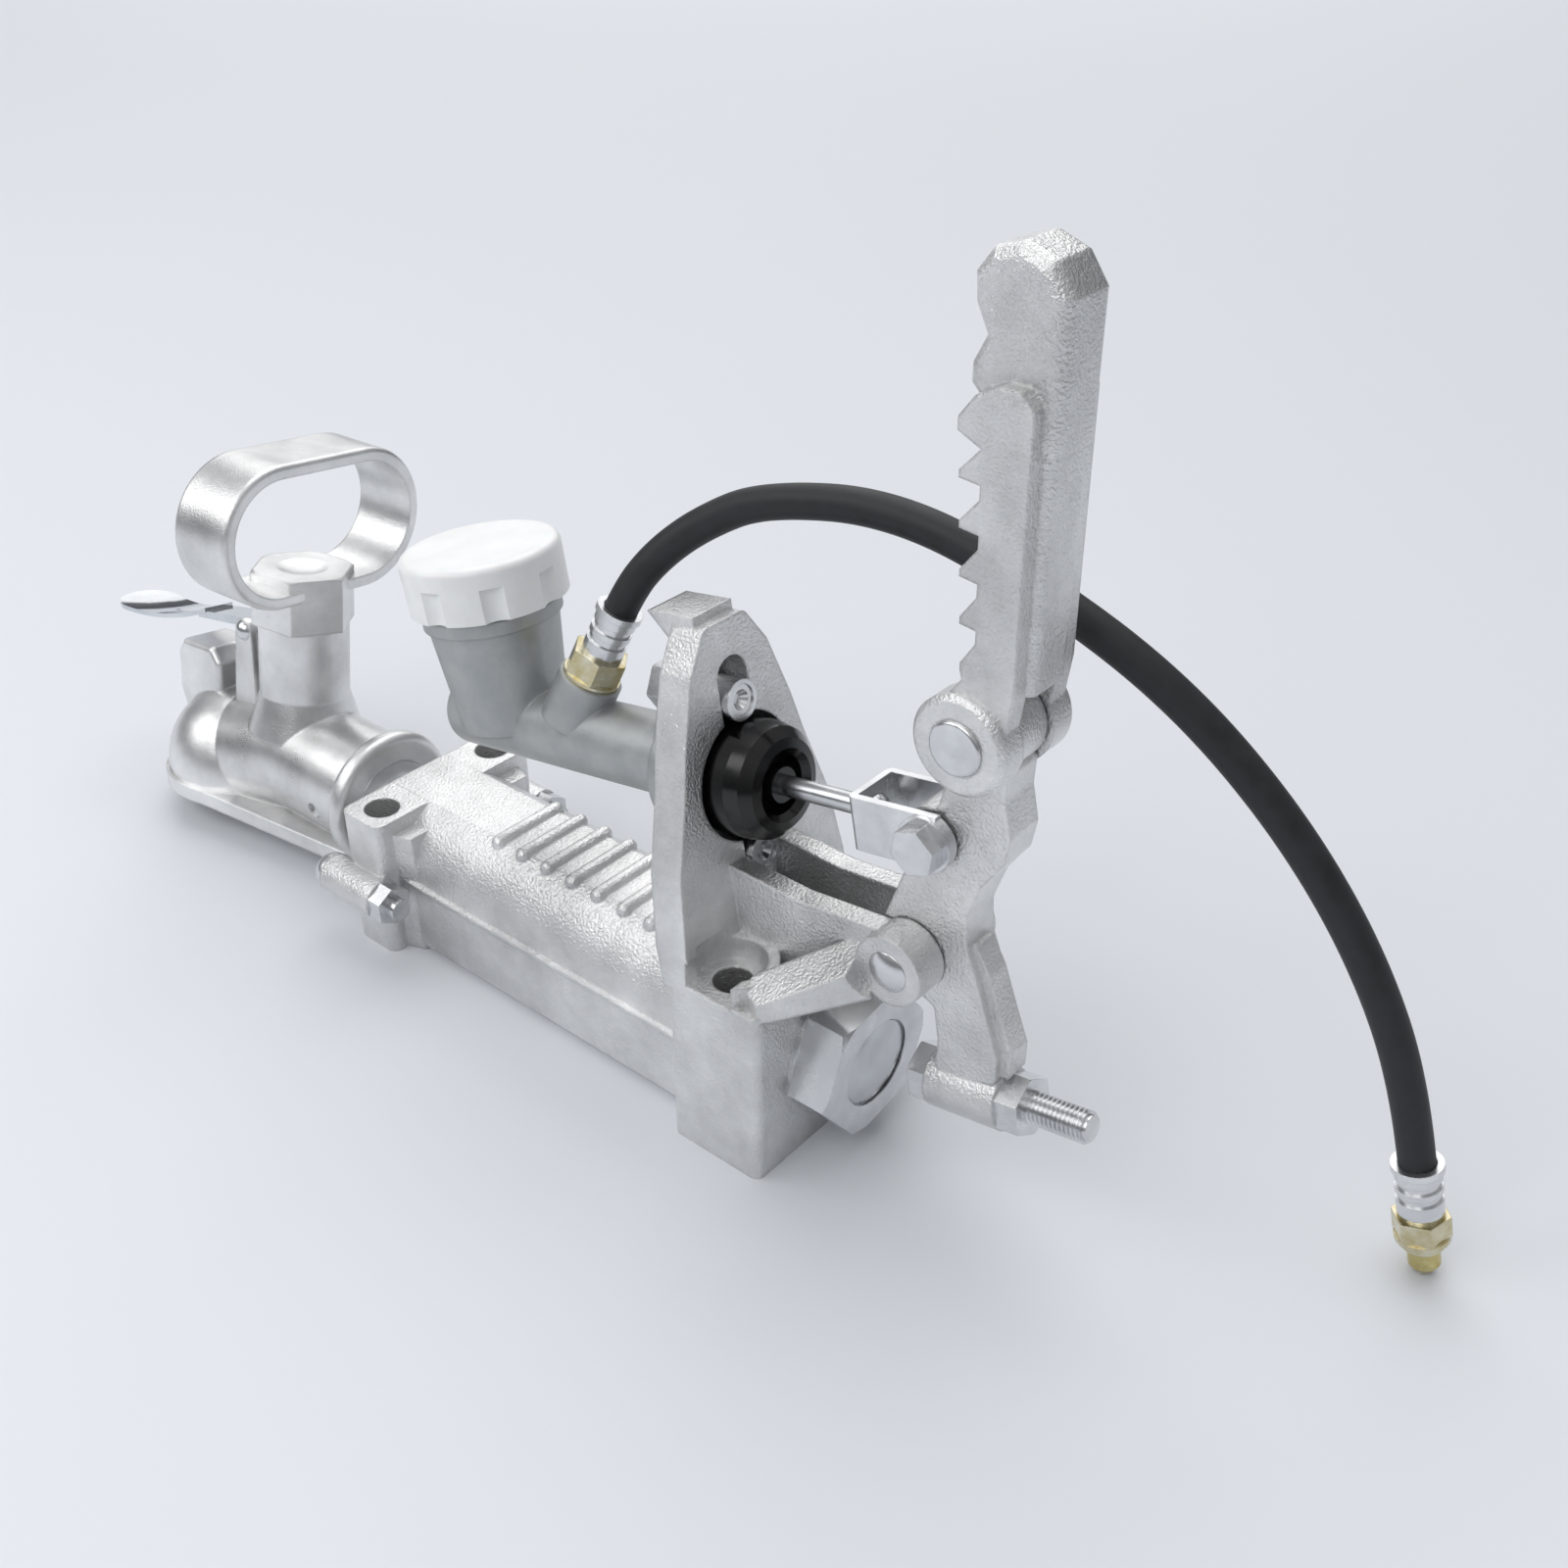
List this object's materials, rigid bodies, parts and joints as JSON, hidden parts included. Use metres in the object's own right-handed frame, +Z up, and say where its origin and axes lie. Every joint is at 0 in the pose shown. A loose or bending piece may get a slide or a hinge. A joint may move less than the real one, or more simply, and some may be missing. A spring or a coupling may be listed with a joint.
{
  "type": "hydraulic brake actuator",
  "caption": "Over-ride trailer coupling: ball head on a sliding shaft in a bolted housing, tilted hydraulic master cylinder, brake lever, ratchet handbrake handle and rubber brake hose.",
  "frame": {"origin": "middle of the four foot holes on the mounting plane", "axes": "X rearward from the ball head, Y to the far side, Z up"},
  "size_m": [0.5764, 0.1177, 0.2975],
  "materials": {
    "cast_zinc": "zinc-plated casting, grainy and bright",
    "zinc_steel": "bright zinc plate on machined steel",
    "zinc_sheet": "bright zinc plate on folded strip",
    "turned_steel": "turned steel, fine lathe marks",
    "spring_steel": "drawn spring steel",
    "bronze": "plain bearing bronze",
    "cast_aluminium": "blasted aluminium casting",
    "plain_aluminium": "turned aluminium",
    "rubber": "moulded black rubber",
    "white_plastic": "moulded white plastic",
    "yellow_zinc": "yellow-passivated zinc plate",
    "brass": "turned brass",
    "bright_sheet": "bright plated pressed sheet"
  },
  "bodies": {
    "frame": {"housing": "cast_zinc", "front_bush": "bronze", "rear_bush": "bronze", "side_bolts": "zinc_steel", "side_nuts": "zinc_steel", "pivot_pin": "zinc_steel", "master_cylinder": "cast_aluminium", "flange_bolts": "zinc_steel", "flange_sleeves": "zinc_steel", "retaining_ring": "spring_steel", "boot": "rubber", "return_spring": "spring_steel", "hose_fitting": "yellow_zinc", "near_ferrule": "zinc_steel", "hose": "rubber", "far_ferrule": "zinc_steel", "end_fitting": "yellow_zinc", "end_tip": "brass"},
    "cap_gasket": {"cap_seal": "rubber"},
    "cap": {"reservoir_cap": "white_plastic"},
    "piston": {"piston": "plain_aluminium", "piston_cups": "rubber"},
    "lever": {"brake_lever": "cast_zinc", "adjuster_bolt": "zinc_steel", "adjuster_nut": "zinc_steel", "handle_pin": "zinc_steel"},
    "rod": {"push_rod": "zinc_steel", "clevis": "zinc_sheet", "clevis_bolt": "zinc_steel", "clevis_washers": "zinc_steel", "clevis_nut": "zinc_steel"},
    "handle": {"handbrake_handle": "cast_zinc"},
    "carriage": {"thrust_washer": "bronze"},
    "tow_shaft": {"shaft": "turned_steel", "shaft_nut": "zinc_steel", "nut_pin": "spring_steel", "coupling_head": "cast_zinc", "head_pin": "spring_steel", "plunger_spring": "spring_steel", "tower_cap": "zinc_steel", "latch_rivet": "zinc_steel"},
    "lift": {"lift_handle": "cast_zinc", "lock_plunger": "turned_steel", "handle_cross_pin": "spring_steel"},
    "keeper": {"ball_keeper": "turned_steel"},
    "latch": {"thumb_latch": "bright_sheet", "latch_stud": "zinc_steel", "latch_spring": "spring_steel"}
  },
  "joints": [
    {"name": "shaft_slide", "type": "slide", "parent": "frame", "child": "carriage", "axis": [1, 0, 0], "range_m": [0, 0.015]},
    {"name": "head_roll", "type": "hinge", "parent": "carriage", "child": "tow_shaft", "pos_m": [0, 0, 0.0335], "axis": [1, 0, 0], "range_deg": [-20, 20]},
    {"name": "lever_swing", "type": "hinge", "parent": "frame", "child": "lever", "pos_m": [0.1375, 0, 0.09], "axis": [0, -1, 0], "range_deg": [0, 20]},
    {"name": "rod_swing", "type": "hinge", "parent": "lever", "child": "rod", "pos_m": [0.1425, 0, 0.13234], "axis": [0, -1, 0], "range_deg": [-20, 0], "deforming": ["boot"]},
    {"name": "piston_slide", "type": "slide", "parent": "frame", "child": "piston", "axis": [-0.9848, 0, -0.1736], "range_m": [0, 0.0148], "deforming": ["return_spring"]},
    {"name": "handle_swing", "type": "hinge", "parent": "lever", "child": "handle", "pos_m": [0.1545, 0, 0.1705], "axis": [0, -1, 0], "range_deg": [0, 60]},
    {"name": "cap_lift", "type": "slide", "parent": "frame", "child": "cap_gasket", "axis": [-0.1736, 0, 0.9848], "range_m": [0, 0.0046]},
    {"name": "cap_turn", "type": "hinge", "parent": "cap_gasket", "child": "cap", "pos_m": [-0.04558, 0, 0.14995], "axis": [-0.1736, 0, 0.9848], "range_deg": [0, 540]},
    {"name": "handle_lift", "type": "slide", "parent": "tow_shaft", "child": "lift", "axis": [0, 0.1564, 0.9877], "range_m": [0, 0.012], "stiffness_N_per_m": 1500, "springref_m": -0.012, "deforming": ["plunger_spring"]},
    {"name": "keeper_slide", "type": "slide", "parent": "tow_shaft", "child": "keeper", "axis": [1, 0, 0], "range_m": [0, 0.0025]},
    {"name": "latch_swing", "type": "hinge", "parent": "tow_shaft", "child": "latch", "pos_m": [-0.197, 0.00727, 0.07943], "axis": [0, 0.9877, -0.1564], "range_deg": [0, 20], "stiffness_Nm_per_rad": 0.2, "springref_deg": -22.92}
  ],
  "couplings": [
    {"joint": "rod_swing", "follows": "lever_swing", "ratio": -0.9488},
    {"joint": "piston_slide", "follows": "lever_swing", "m_per_rad": 0.04211},
    {"joint": "cap_lift", "follows": "cap_turn", "m_per_rad": 0.00047746},
    {"joint": "keeper_slide", "follows": "handle_lift", "ratio": 0.2}
  ]
}
